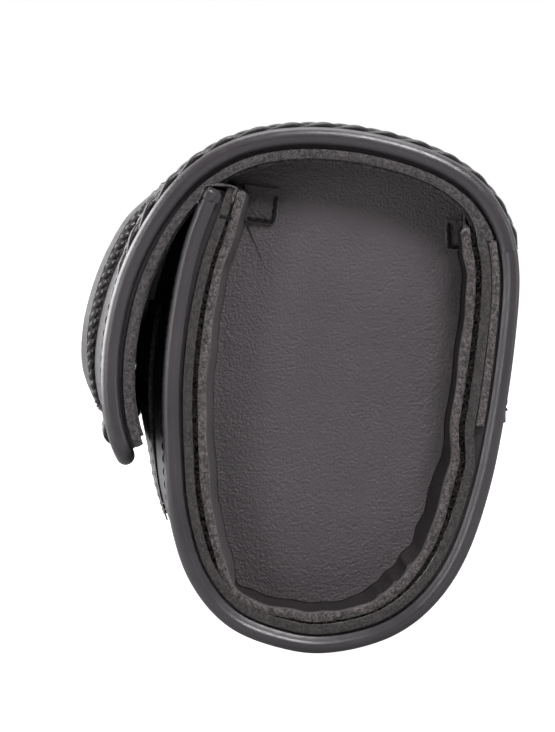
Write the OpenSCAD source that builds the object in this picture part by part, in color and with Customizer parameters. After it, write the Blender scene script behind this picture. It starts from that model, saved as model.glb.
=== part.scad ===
// Leather tool pouch: a wrapped body with recessed end panels and a flap that folds over the front.
// X runs along the pouch, the flap closes on the -Y side, the back faces +Y and +Z is up.
// The origin is the centre of the bottom of the bounding box. All lengths are in millimetres.

/* [Pouch] */
// Overall length along X
pouch_length = 300; // [260:5:340]
// How far the middle of the body's front swells past its ends
body_swell = 13; // [4:1:13]
// How far the middle of the flap swells past its ends
flap_swell = 13; // [4:1:14]

/* [Leather] */
// Thickness of the outer leather
leather_t = 2.2; // [1.8:0.1:2.4]
// Thickness of the lining
lining_t = 1; // [0.6:0.1:1.1]
// Depth of the end panels behind the piping
end_recess = 12; // [8:1:16]

/* [Trim] */
// Diameter of the piping
piping_d = 4.2; // [3.4:0.1:4.4]
// Width of the braid beside the piping
braid_w = 7; // [5:0.5:8]
// Height of the braid above the leather
braid_h = 3.2; // [2:0.2:3.6]

/* [Straps and snaps] */
// Distance between the centres of the two straps
strap_spacing = 190; // [160:5:200]
// Width of the straps
strap_w = 28; // [20:1:32]
// Radius of the snap stud's head
stud_r = 4; // [3:0.5:5]
// Radius of the snap's round plates
snap_r = 6.5; // [6:0.5:8]

/* [Back mount] */
// Height of the strip on the back
mount_h = 46; // [40:1:46]
// Length of each strap slot, end to end
slot_l = 34; // [26:1:40]
// Width of each strap slot
slot_w = 5; // [3:0.5:6]
// Height between the upper and the lower slots
slot_rise = 28; // [24:1:30]

/* [Hidden] */

// The outer line of the leather at one end, from the body's front lip, down the front, along the
// bottom, up the back and over the top to the flap's tip, with one more point past the tip that
// only guides the curve. Each point is y, z and the share of the swell that it takes at mid length,
// in y and in z.
OUTLINE = [
    [-21, 117, -0.4, 0], [-26, 104, -0.7, 0], [-29.5, 88, -0.9, 0], [-31.5, 70, -1, 0],
    [-31.5, 52, -1, 0], [-30, 34, -0.9, 0], [-25, 18, -0.6, -0.07], [-15, 6.3, -0.3, -0.1],
    [0, 0.6, 0, -0.14], [12.5, 0.3, 0, -0.1], [26, 4.3, 0.05, -0.14], [36.4, 12.2, 0.05, 0],
    [44.2, 24, 0, 0], [50, 41, 0, 0], [53.8, 60, 0, 0], [56.4, 80, 0, 0],
    [57.2, 96, 0, 0], [54.7, 108, 0, 0], [47.6, 118.5, 0, 0], [36, 125.7, 0, 0.15],
    [19, 130.5, 0, 0.2], [2, 131.7, -0.1, 0.2], [-13, 129, -0.2, 0.2], [-25, 122, -0.4, 0.2],
    [-34.5, 111, -0.7, 0.1], [-42, 96.5, -0.9, 0], [-46, 81, -1, 0], [-47, 67, -1, 0],
    [-45.5, 55, -1, 0], [-42, 46, -1, 0], [-38, 39, -1, 0]
];
STEPS = 4; // facets between two points of the outline
LIP = 0; // where the body's front edge is on the outline
BODY_END = 16.86; // where the body stops short of the crease
CREASE = 16.9; // where the flap folds
FLAP_START = 16.94; // where the flap begins past the crease
FLAP_SWELL_FROM = 18; // from here on the flap's own swell applies
TIP = 29; // where the flap's front edge is on the outline

end_x = pouch_length / 2; // outer side of the piping
shell_x = end_x - 0.5; // cut edge of the wrap
piping_r = piping_d / 2;
piping_x = end_x - piping_r; // centre of the piping
outer_d = 1.5; // depth of the leather's outer face below the outline
tuck = 3.8; // how much deeper the leather lies where it passes under the piping
tuck_to = end_x - 4.4; // full tuck from here outwards
tuck_from = end_x - 9.4; // the tuck begins here
skin_gap = 0.15; // air between two layers that are stitched together
lining_d = outer_d + leather_t + skin_gap; // depth of the lining's outer face
flange_d = outer_d + tuck + leather_t + lining_t + 4 * skin_gap + 0.1; // depth of the end panel's flange
flap_inner_d = lining_d + lining_t; // depth of the flap's inner face
panel_arch = 12; // how far the end panel's top rises between its corners
back_y = 54.6; // outer face of the strip on the back
back_mid_z = 80.5; // mid height of the strip on the back
wrap_back_y = back_y - leather_t - skin_gap; // where the wrap is pressed flat under the strip
HALF_STATIONS = [end_x - 95, end_x - 42, tuck_from, (tuck_from + tuck_to) / 2, tuck_to, shell_x];
STATIONS = concat([for (i = [len(HALF_STATIONS) - 1 : -1 : 0]) -HALF_STATIONS[i]], [0], HALF_STATIONS);

strap_t = 2.4;
strap_x = strap_spacing / 2;
body_strap_u = [2.1, 5.4];
flap_strap_u = [23.6, 27.75];
snap_u = 3.05; // the stud's place on the outline
socket_u = 26.95; // the socket's place on the outline
stud_h = 3.4;
plate_t = 1.2;
cap_h = 0.9; // height of the snap's cap, which the strap is sewn over

// A point of a smooth curve through the points c, and the curve's direction there
function curve(c, u) =
    let (n = len(c) - 1, i = min(floor(u), n - 1), t = u - i,
        p = c[max(i - 1, 0)], q = c[i], r = c[i + 1], s = c[min(i + 2, n)])
    0.5 * (2 * q + (r - p) * t + (2 * p - 5 * q + 4 * r - s) * t * t
        + (3 * q - p - 3 * r + s) * t * t * t);
function heading(u) =
    let (d = curve(OUTLINE, min(u + 0.05, TIP)) - curve(OUTLINE, max(u - 0.05, 0)))
    [d[0], d[1]] / norm([d[0], d[1]]);
function outward(u) = let (h = heading(u)) [h[1], -h[0]];

// How much of the swell a place along X has, and how much of the tuck
function swell(x) = 1 - pow(x / end_x, 2);
function ease(t) = let (s = min(max(t, 0), 1)) s * s * (3 - 2 * s);
function tucked(x) = tuck * ease((abs(x) - tuck_from) / (tuck_to - tuck_from));

// The outline at u and x, without its tuck, and a point at depth d below the leather's outline
function line_at(u, x) =
    let (c = curve(OUTLINE, u), s = swell(x) * (u < FLAP_SWELL_FROM ? body_swell : flap_swell))
    [c[0] + s * c[2], c[1] + s * c[3]];
function place(u, x, d) =
    let (p = line_at(u, x) - outward(u) * (d + tucked(x)))
    [x, min(p[0], wrap_back_y + outer_d - d), p[1]];

// Where the flap's leather ends, just inside the piping and its rounded corners, and where a
// place near the tip moves to so that the leather ends there
TIP_STEP = 8.9; // length of the outline for one step of u at the tip
FIT_FROM = 27;
corner_r = 8;
function flap_edge(x) =
    let (w = min(max(abs(x) - (end_x - piping_r - corner_r), 0) / corner_r, 1))
    TIP - (piping_r + 0.4 + corner_r * (1 - sqrt(1 - w * w))) / TIP_STEP;
function fitted(u, x) =
    u < FIT_FROM ? u : FIT_FROM + (u - FIT_FROM) * (flap_edge(x) - FIT_FROM) / (TIP - FIT_FROM);

// The facet positions from u0 to u1
function grid(u0, u1) = concat([u0],
    [for (i = [floor(u0 * STEPS) + 1 : 1 : ceil(u1 * STEPS) - 1]) i / STEPS], [u1]);
// A closed loop round a layer between the depths d0 and d1, each entry u and depth
function layer(u0, u1, d0, d1) =
    let (g = grid(u0, u1), n = len(g) - 1)
    concat([for (u = g) [u, d0]], [for (i = [n : -1 : 0]) [g[i], d1]]);

// A closed solid through rings of points. Every ring has the same even count, and each end is
// closed by a strip of facets between the ring's first half and its second.
module rings(list) {
    n = len(list[0]);
    last = (len(list) - 1) * n;
    polyhedron(
        points = [for (ring = list) for (p = ring) p],
        faces = concat(
            [for (i = [0 : n / 2 - 2]) for (tri = [[i, i + 1, n - 2 - i], [i, n - 2 - i, n - 1 - i]]) tri],
            [for (k = [0 : len(list) - 2]) for (i = [0 : n - 1])
                for (tri = [[0, n, n + 1], [0, n + 1, 1]])
                    [for (t = tri) k * n + (t >= n ? n : 0) + (i + t % n) % n]],
            [for (i = [0 : n / 2 - 2]) for (tri = [[i, n - 2 - i, i + 1], [i, n - 1 - i, n - 2 - i]])
                [for (t = tri) last + t]]));
}
// Leather along X: the loop is a list of u and depth
module sweep_x(loop, xs) {
    rings([for (x = xs) [for (e = loop) place(fitted(e[0], x), x, e[1])]]);
}
// A flattened tube along a path of points: side is the half width along the way's own left,
// rise is the half height along the normals given
module sweep_path(path, normals, side, rise, sides = 8) {
    n = len(path) - 1;
    rings([for (i = [0 : n])
        let (d = path[min(i + 1, n)] - path[max(i - 1, 0)],
            t = d / norm(d),
            w = cross(normals[i], t),
            b = w / norm(w),
            up = cross(t, b))
        [for (k = [0 : sides - 1])
            path[i] + side * cos(k * 360 / sides) * b + rise * sin(k * 360 / sides) * up]]);
}
function at_line(u, x, d) = let (p = line_at(u, x) - outward(u) * d) [x, p[0], p[1]];
function up_at(u) = let (n = outward(u)) [0, n[0], n[1]];
// The swollen surface's own outward normal, which also leans along X
function lean_at(u, x) =
    let (a = at_line(u, x + 1, 0) - at_line(u, x - 1, 0),
        b = at_line(u + 0.05, x, 0) - at_line(u - 0.05, x, 0),
        n = cross(b, a))
    n / norm(n);

// The way along the flap's free edges, from the right crease round both corners to the left one.
// inset is how far it runs inside the edges. Each entry is u and x.
function flap_way(inset) =
    let (x0 = end_x - inset, r = corner_r, ru = r / TIP_STEP,
        u_end = TIP - (inset - piping_r) / TIP_STEP,
        side = grid(FLAP_START + 0.02, u_end - ru - 0.05),
        corner = [for (a = [10 : 20 : 90]) [u_end - ru + ru * sin(a), x0 - r + r * cos(a)]],
        front = [for (x = [x0 - r - 16, end_x - 42, end_x - 95]) [u_end, x]],
        half = concat([for (u = side) [u, x0]], corner, front),
        n = len(half) - 1)
    concat(half, [[u_end, 0]], [for (i = [n : -1 : 0]) [half[i][0], -half[i][1]]]);

// A place on the leather with its own Z pointing straight out, h above the depth d
module snap_frame(u, x, d, h = 0) {
    n = lean_at(u, x);
    translate(at_line(u, x, d) + h * n) rotate(a = acos(n[2]), v = cross([0, 0, 1], n)) children();
}

module strap_slots() {
    straight = slot_l / 2 - slot_w / 2;
    for (x = [-strap_x, strap_x], z = [-slot_rise / 2, slot_rise / 2])
        translate([x, back_y + 5, back_mid_z + z]) rotate([90, 0, 0]) linear_extrude(20) {
            square([2 * straight, slot_w], center = true);
            for (s = [-straight, straight]) translate([s, 0]) circle(d = slot_w, $fn = 48);
        }
}

module wrap_shell() {
    color("#3a3638") difference() {
        sweep_x(layer(LIP, BODY_END, outer_d, outer_d + leather_t), STATIONS);
        strap_slots();
    }
}
module wrap_lining() {
    color("#4a4442") difference() {
        sweep_x(layer(LIP, BODY_END - 0.1, lining_d, lining_d + lining_t), STATIONS);
        strap_slots();
    }
}
module back_mount_strip() {
    strip_x = end_x - piping_d - skin_gap;
    color("#353133") difference() {
        translate([-strip_x, back_y - leather_t, back_mid_z - mount_h / 2])
            cube([2 * strip_x, leather_t, mount_h]);
        strap_slots();
    }
}
module top_binding() {
    fold = 0.42; // how far the binding reaches down, along the outline
    over = -0.07; // its fold above the lip
    gap = 0.3; // air between the binding's legs and the leather
    out = [outer_d - gap - 1, outer_d - gap];
    in = [lining_d + lining_t + gap, lining_d + lining_t + gap + 1];
    loop = [[fold, out[1]], [over + 0.06, out[1]], [over + 0.06, in[0]], [fold, in[0]],
        [fold, in[1]], [over, in[1]], [over, out[0]], [fold, out[0]]];
    color("#302c2e") rings([for (x = [for (s = STATIONS) if (abs(s) < tuck_to) s])
        [for (e = loop)
            let (p = place(max(e[0], 0), x, e[1]), h = heading(0))
            p + min(e[0], 0) * 14 * [0, h[0], h[1]]]]);
}
// The end panel's outline at depth d, closed over the top by an arch of the given rise
function end_line(d) =
    [for (u = grid(LIP + 0.05, BODY_END - 0.05)) let (p = at_line(u, end_x, d)) [p[1], p[2]]];
module end_outline(d, rise) {
    line = end_line(d);
    from = line[len(line) - 1];
    polygon(concat(line, [for (t = [0.1 : 0.1 : 0.9])
        from + t * (line[0] - from) + [0, rise * sin(180 * t)]]));
}
module end_panel(side) {
    color("#4e4a4d") multmatrix([[0, 0, side, side * (shell_x - end_recess - leather_t)],
        [1, 0, 0, 0], [0, 1, 0, 0]]) difference() {
        linear_extrude(end_recess + leather_t) end_outline(flange_d, panel_arch);
        translate([0, 0, leather_t]) linear_extrude(end_recess + 1)
            end_outline(flange_d + leather_t, 4 * panel_arch);
    }
}
module corner_patch(side, y, z, w, h) {
    patch_x = shell_x - end_recess + skin_gap;
    color("#433f41") translate([side > 0 ? patch_x : -patch_x - 1, y, z]) cube([1, w, h]);
}
module body_piping(side) {
    g = grid(LIP + 0.5, BODY_END - 0.02);
    color("#3d393c") sweep_path([for (u = g) at_line(u, side * piping_x, piping_r)],
        [for (u = g) up_at(u)], piping_r, piping_r);
}
module body_strap(side) {
    d1 = outer_d - skin_gap;
    xs = [for (i = [-2 : 2]) side * strap_x + i * strap_w / 4];
    color("#2f2b2d") sweep_x(layer(body_strap_u[0], body_strap_u[1], d1 - strap_t, d1), xs);
}
module snap_stud(side) {
    color("#c8c8cc") snap_frame(snap_u, side * strap_x, outer_d - strap_t - skin_gap, 0.15)
        rotate_extrude($fn = 48) polygon([[0, 0], [snap_r, 0], [snap_r - 0.6, plate_t],
            [stud_r - 1, plate_t], [stud_r - 1, stud_h - 1.6], [stud_r, stud_h - 1],
            [stud_r - 0.5, stud_h - 0.2], [stud_r - 1.4, stud_h], [0, stud_h]]);
}
module snap_post(side) {
    color("#b4b4b8") snap_frame(snap_u, side * strap_x, lining_d + lining_t, -0.5) mirror([0, 0, 1])
        rotate_extrude($fn = 48) polygon([[0, 0], [snap_r - 1, 0], [snap_r - 1.4, 0.8],
            [0, 1]]);
}

module flap_shell() {
    color("#3a3638") sweep_x(layer(FLAP_START, TIP, outer_d, outer_d + leather_t), STATIONS);
}
module flap_lining() {
    color("#2a2527") sweep_x(layer(FLAP_START + 0.1, TIP, lining_d, lining_d + lining_t), STATIONS);
}
module flap_piping() {
    way = flap_way(piping_r);
    color("#3d393c") sweep_path([for (e = way) at_line(e[0], e[1], piping_r)],
        [for (e = way) up_at(e[0])], piping_r, piping_r);
}
module flap_braid() {
    way = flap_way(piping_d + braid_w / 2 + 0.3);
    color("#242022") sweep_path([for (e = way) at_line(e[0], e[1], outer_d - braid_h / 2)],
        [for (e = way) up_at(e[0])], braid_w / 2, braid_h / 2 - skin_gap);
}
module flap_strap(side) {
    d1 = outer_d - skin_gap;
    xs = [for (i = [-2 : 2]) side * strap_x + i * strap_w / 4];
    color("#2f2b2d") difference() {
        sweep_x(layer(flap_strap_u[0], flap_strap_u[1], d1 - strap_t, d1), xs);
        snap_frame(socket_u, side * strap_x, outer_d, -1) cylinder(r = snap_r + 0.3, h = cap_h + 1.5);
    }
}
module snap_socket(side) {
    color("#c8c8cc") snap_frame(socket_u, side * strap_x, flap_inner_d, -0.75) mirror([0, 0, 1])
        rotate_extrude($fn = 48) polygon([[stud_r - 0.3, 0], [snap_r, 0], [snap_r, 1],
            [stud_r + 1.4, 2.6], [stud_r - 0.3, 2.6]]);
}
module snap_cap(side) {
    color("#c8c8cc") snap_frame(socket_u, side * strap_x, outer_d, 0.2)
        rotate_extrude($fn = 48) polygon([[0, 0], [snap_r, 0], [snap_r - 1, 0.5], [0, cap_h]]);
}

wrap_shell();
wrap_lining();
back_mount_strip();
top_binding();
end_panel(1);  // end_panel_right
end_panel(-1);  // end_panel_left
body_piping(1);  // body_piping_right
body_piping(-1);  // body_piping_left
corner_patch(1, -10.5, 103, 7, 9);  // corner_patch_front_right
corner_patch(-1, -10.5, 103, 7, 9);  // corner_patch_front_left
corner_patch(1, 37.5, 99, 5, 6);  // corner_patch_back_right
corner_patch(-1, 37.5, 99, 5, 6);  // corner_patch_back_left
body_strap(1);  // body_strap_right
body_strap(-1);  // body_strap_left
snap_stud(1);  // snap_stud_right
snap_stud(-1);  // snap_stud_left
snap_post(1);  // snap_post_right
snap_post(-1);  // snap_post_left
flap_shell();
flap_lining();
flap_piping();
flap_braid();
flap_strap(1);  // flap_strap_right
flap_strap(-1);  // flap_strap_left
snap_socket(1);  // snap_socket_right
snap_socket(-1);  // snap_socket_left
snap_cap(1);  // snap_cap_right
snap_cap(-1);  // snap_cap_left
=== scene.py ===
"""Looks of a leather tool pouch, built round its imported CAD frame.

Shapes are worked out in millimetres in the part's own frame, and become metres when a mesh is made.
u runs along the pouch's outline, from the body's front lip round to the flap's tip, x runs along
the pouch, and a depth is measured inwards from the outline.
"""

import math

import bpy
import numpy as np
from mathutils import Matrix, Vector


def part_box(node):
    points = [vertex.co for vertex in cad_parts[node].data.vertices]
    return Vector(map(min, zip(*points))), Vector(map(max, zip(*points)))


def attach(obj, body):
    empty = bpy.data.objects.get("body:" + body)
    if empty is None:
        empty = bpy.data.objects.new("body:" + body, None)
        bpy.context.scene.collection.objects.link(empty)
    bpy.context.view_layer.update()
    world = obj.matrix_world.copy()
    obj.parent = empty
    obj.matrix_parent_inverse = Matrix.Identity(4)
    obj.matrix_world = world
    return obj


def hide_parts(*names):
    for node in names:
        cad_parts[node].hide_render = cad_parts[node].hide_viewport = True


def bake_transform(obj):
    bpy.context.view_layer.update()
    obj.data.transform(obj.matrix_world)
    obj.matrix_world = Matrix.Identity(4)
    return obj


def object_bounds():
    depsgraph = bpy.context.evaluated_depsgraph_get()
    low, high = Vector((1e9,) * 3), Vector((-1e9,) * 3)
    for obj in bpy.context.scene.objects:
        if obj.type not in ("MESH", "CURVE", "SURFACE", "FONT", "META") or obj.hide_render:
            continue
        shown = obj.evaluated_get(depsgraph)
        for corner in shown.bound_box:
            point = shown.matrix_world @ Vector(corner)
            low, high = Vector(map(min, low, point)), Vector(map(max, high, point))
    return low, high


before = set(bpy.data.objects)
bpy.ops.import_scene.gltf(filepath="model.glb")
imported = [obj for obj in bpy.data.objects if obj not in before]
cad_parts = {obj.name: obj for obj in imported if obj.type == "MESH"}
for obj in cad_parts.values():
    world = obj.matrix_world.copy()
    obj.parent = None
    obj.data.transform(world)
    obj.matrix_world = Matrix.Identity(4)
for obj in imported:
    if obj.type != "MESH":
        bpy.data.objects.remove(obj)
cad_low, cad_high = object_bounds()

MM = 0.001


def cad_mm(node):
    """The lowest and highest corners of a CAD node, in millimetres."""
    low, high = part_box(node)
    return np.array(low) / MM, np.array(high) / MM


# ---------------------------------------------------------------- driving dimensions
# The outline's points: y, z and the shares of the swell in y and z, as in the part's source, but
# for the flap's lower edge, which is drawn in a little. The last point only guides the curve.
OUTLINE = np.array([
    [-21, 117, -0.4, 0], [-26, 104, -0.7, 0], [-29.5, 88, -0.9, 0], [-31.5, 70, -1, 0],
    [-31.5, 52, -1, 0], [-30, 34, -0.9, 0], [-25, 18, -0.6, -0.07], [-15, 6.3, -0.3, -0.1],
    [0, 0.6, 0, -0.14], [12.5, 0.3, 0, -0.1], [26, 4.3, 0.05, -0.14], [36.4, 12.2, 0.05, 0],
    [44.2, 24, 0, 0], [50, 41, 0, 0], [53.8, 60, 0, 0], [56.4, 80, 0, 0],
    [57.2, 96, 0, 0], [54.7, 108, 0, 0], [47.6, 118.5, 0, 0], [36, 125.7, 0, 0.15],
    [19, 130.5, 0, 0.2], [2, 131.7, -0.1, 0.2], [-13, 129, -0.2, 0.2], [-25, 122, -0.4, 0.2],
    [-34.5, 111, -0.7, 0.1], [-42, 96.5, -0.9, 0], [-46, 81, -1, 0], [-47, 67, -1, 0],
    [-45.5, 55, -0.75, 0], [-42, 46, -0.5, 0], [-38, 39, -0.4, 0],
], float)
TIP = len(OUTLINE) - 2.0
SPLIT = 16.4  # below this the leather belongs to the body, above it to the flap
LIP = 0.0
BODY_SWELL = 13.0
FLAP_SWELL = 13.0
FLAP_SWELL_FROM = 18.0

END_X = cad_mm("body_piping_right")[1][0]  # outer side of the piping
EDGE_X = END_X - 0.6  # cut edges of the leather
RECESS_X = cad_mm("end_panel_right")[0][0] + 2.2  # front face of the right end panel
BACK_Y = cad_mm("back_mount_strip")[1][1]  # outer face of the strip on the back
STRIP_LOW, STRIP_HIGH = cad_mm("back_mount_strip")[0][2], cad_mm("back_mount_strip")[1][2]
STRAP_LOW, STRAP_HIGH = cad_mm("flap_strap_right")
STRAP_X = (STRAP_LOW[0] + STRAP_HIGH[0]) / 2
STRAP_W = STRAP_HIGH[0] - STRAP_LOW[0]

LEATHER = 2.3  # thickness of the leather
STRIP_EDGE = 1.85  # thickness of the strip on the back where its ends are pressed
LINING = 1.0
FACE_DEPTH = 1.5  # the leather's outer face, away from the ends
TUCK_DEPTH = 5.1  # the same face where it runs under the piping
TUBE_R = 1.8
BEAD_R = 0.5
CORNER_R = 8.0  # the flap's rounded corners
SKIN_GAP = 0.05  # between leather and lining
STRIP_ROOM = STRIP_EDGE + 0.2  # the room that the strip's pressed ends take under the piping
LIP_REACH = 0.8  # the stretch of u over which the front lip is cut
LIP_SKEW = 0.3  # how much higher each millimetre of depth is there

# Thread stitches: pitch, length of a stitch and radius
STRIP_STITCH = (3.4, 2.5, 0.38)
SLOT_STITCH = (2.6, 1.9, 0.34)
EDGE_STITCH = (3.3, 2.4, 0.34)
LIP_STITCH = (3.2, 2.3, 0.3)
STRAP_STITCH = (3.2, 2.3, 0.26)

ENDS = ((1, "right"), (-1, "left"))


# ---------------------------------------------------------------- the outline as functions
def smooth(t):
    t = np.clip(t, 0.0, 1.0)
    return t * t * (3 - 2 * t)


def window(v, start, stop, fade):
    """1 between start and stop, easing to 0 over fade outside them."""
    return smooth((v - start) / fade + 1) * smooth((stop - v) / fade + 1)


def spline(p, q, r, s, t):
    """The curve through q and r at the share t, led by p before them and s after them."""
    return 0.5 * (2 * q + (r - p) * t + (2 * p - 5 * q + 4 * r - s) * t**2
                  + (3 * q - p - 3 * r + s) * t**3)


def curve(u):
    """The outline at u: y, z and the shares of the swell in y and z."""
    u = np.asarray(u, float)
    last = len(OUTLINE) - 1
    i = np.clip(np.floor(u).astype(int), 0, last - 1)
    t = (u - i)[..., None]
    p, q = OUTLINE[np.maximum(i - 1, 0)], OUTLINE[i]
    return spline(p, q, OUTLINE[i + 1], OUTLINE[np.minimum(i + 2, last)], t)


def unit(v):
    return v / np.linalg.norm(v, axis=-1, keepdims=True)


def square_to(v, d):
    """The part of v that is at right angles to the unit vector d."""
    return v - d * np.sum(v * d, axis=1, keepdims=True)


def lengths_along(path):
    """How far along a polyline each of its points is."""
    return np.concatenate([[0], np.cumsum(np.linalg.norm(np.diff(path, axis=0), axis=1))])


def outward(u):
    """The outline's outward normal in y and z."""
    u = np.asarray(u, float)
    d = unit(curve(np.minimum(u + 0.05, TIP))[..., :2] - curve(np.maximum(u - 0.05, 0))[..., :2])
    return np.stack([d[..., 1], -d[..., 0]], -1)


def up_from(u):
    """The outline's outward normal in x, y and z."""
    n = outward(u)
    return np.stack([np.zeros_like(n[..., 0]), n[..., 0], n[..., 1]], -1)


def forward_from(u):
    """The direction in which u grows, in x, y and z."""
    n = outward(u)
    return np.stack([np.zeros_like(n[..., 0]), -n[..., 1], n[..., 0]], -1)


def point(u, x, depth):
    """The point at u and x, a depth below the swollen outline. The lip is cut nearly level."""
    u, x, depth = np.broadcast_arrays(np.asarray(u, float), x, depth)
    c, n = curve(u), outward(u)
    s = (1 - (x / END_X) ** 2) * np.where(u < FLAP_SWELL_FROM, BODY_SWELL, FLAP_SWELL)
    lip = LIP_SKEW * np.maximum(depth, 0) * smooth(1 - u / LIP_REACH)
    y = c[..., 0] + s * c[..., 2] - n[..., 0] * depth
    z = c[..., 1] + s * c[..., 3] - n[..., 1] * depth + lip
    return np.stack([x, y, z], -1)


U_TABLE = np.linspace(0, TIP, 2000)
LENGTH_TABLE = lengths_along(curve(U_TABLE)[:, :2])


def length_at(u):
    return np.interp(u, U_TABLE, LENGTH_TABLE)


def u_at(length):
    return np.interp(length, LENGTH_TABLE, U_TABLE)


def even(u0, u1, step):
    """Values of u from u0 to u1, about step millimetres apart."""
    a, b = length_at(u0), length_at(u1)
    return u_at(np.linspace(a, b, max(2, int(round((b - a) / step)) + 1)))


def noise(p, cell, seed):
    """Smooth noise from -1 to 1 at the points p, with blobs of about cell millimetres."""
    q = np.asarray(p, float) / cell + 31.7 * seed
    i = np.floor(q).astype(np.int64)
    f = smooth(q - i)
    total = 0.0
    for corner in range(8):
        o = np.array([corner & 1, corner >> 1 & 1, corner >> 2 & 1])
        j = i + o
        h = (j[..., 0] * 73856093) ^ (j[..., 1] * 19349663) ^ (j[..., 2] * 83492791)
        h = ((h ^ (h >> 13)) * 1274126177) & 0xFFFFFF
        w = np.prod(np.where(o == 1, f, 1 - f), axis=-1)
        total = total + w * (h / 0x7FFFFF - 1.0)
    return total


# ---------------------------------------------------------------- the layers' depths
def flap_edge_distance(u, x):
    """How far a point of the flap is from its cut edge, round the rounded corners."""
    s = length_at(TIP) - length_at(u)
    w = EDGE_X - np.abs(x)
    corner = CORNER_R - np.hypot(np.maximum(CORNER_R - s, 0), np.maximum(CORNER_R - w, 0))
    return np.where((s < CORNER_R) & (w < CORNER_R), corner, np.minimum(s, w))


def tuck_share(u, x):
    """0 on the open face and 1 where the leather runs under the piping."""
    near = np.where(u > SPLIT, flap_edge_distance(u, x), EDGE_X - np.abs(x))
    wide = 5.5 + 5.0 * smooth((u - 24) / 2.5)
    return smooth((3.6 + wide - near) / wide)


def strip_share(u, top_fade=12.0):
    """1 where the strip on the back lies over the wrap, at the end of the pouch."""
    z = curve(u)[..., 1]
    below = smooth((z - STRIP_LOW + 1) / 12 + 1)
    above = smooth((STRIP_HIGH + 0.5 - z) / top_fade + 1)
    return np.where((u > 12) & (u < 19), below * above, 0.0)


def lip_gap(u):
    """How much wider the gap under the piping is near the front lip."""
    return 0.9 * smooth(1 - np.asarray(u, float) / 2.5)


def wrap_depth(u, x):
    """How deep the outer sheet's outer face lies, along the pouch and under the piping."""
    end = TUCK_DEPTH + 0.4 * smooth((u - SPLIT) / 2) + lip_gap(u) + STRIP_ROOM * strip_share(u, 1.5)
    return FACE_DEPTH + (end - FACE_DEPTH) * tuck_share(u, x)


def groove(u):
    """Width of the stitched groove between the wrap's edge and the flange's."""
    bottom = 0.9 * window(u, 6.3, 7.2, 0.8) + 0.5 * window(u, 7.4, 10.2, 1.2)
    return 1.15 - bottom + 0.4 * smooth(u - 12)


def flange_depth(u):
    squeeze = 1.3 * window(u, 6.55, 6.65, 0.7) + 0.1 * window(u, 7.4, 10.2, 1.2)
    gaps = 0.6 * lip_gap(u) + STRIP_ROOM * strip_share(u)
    return TUCK_DEPTH + gaps + LEATHER + groove(u) - squeeze


def wall_width(u):
    """How far the recess's wall slants in between the flange's edge and the panel."""
    corner = 1.2 * np.exp(-((u - 6.62) / 0.22) ** 2)
    low = 0.7 * window(u, 7, 9.5, 1)
    right = 1.0 * window(u, 10.2, 12.6, 1.2)
    wavy = 0.25 * np.sin(u * 9) * window(u, 10, 12.5, 0.5)
    return 1.3 - corner - low + right - 0.9 * smooth(u - 13) + wavy


def pressed(p, below):
    """Keeps points inside the plane that the strip on the back presses the leather to."""
    past = np.maximum(np.maximum(p[..., 2] - STRIP_HIGH, STRIP_LOW - p[..., 2]), 0)
    p[..., 1] = np.minimum(p[..., 1], BACK_Y - LEATHER - 0.1 - below + 0.5 * past)
    return p


# ---------------------------------------------------------------- meshes
def merge(parts):
    """One (points, faces) from several."""
    points, faces, start = [], [], 0
    for p, f in parts:
        points.append(p)
        faces += [[i + start for i in face] for face in f]
        start += len(p)
    return np.concatenate(points), faces


def make(name, parts, body, materials, replaced=(), kinds=None, sharp=40):
    """An object from (points, faces), riding on a body unless body is None."""
    points, faces = parts
    mesh = bpy.data.meshes.new(name)
    mesh.from_pydata((points * MM).tolist(), [], faces)
    for m in materials:
        mesh.materials.append(m)
    mesh.polygons.foreach_set("use_smooth", [True] * len(mesh.polygons))
    if kinds is not None:
        mesh.polygons.foreach_set("material_index", kinds)
    mesh.validate()
    mesh.update()
    mesh.set_sharp_from_angle(angle=math.radians(sharp))
    obj = bpy.data.objects.new(name, mesh)
    bpy.context.scene.collection.objects.link(obj)
    if replaced:
        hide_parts(*replaced)
    if body:
        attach(obj, body)
    return obj


def fold(obj):
    """Bakes a flap piece's transform into its mesh; nothing bends it here."""
    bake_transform(obj)
    return obj


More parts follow.
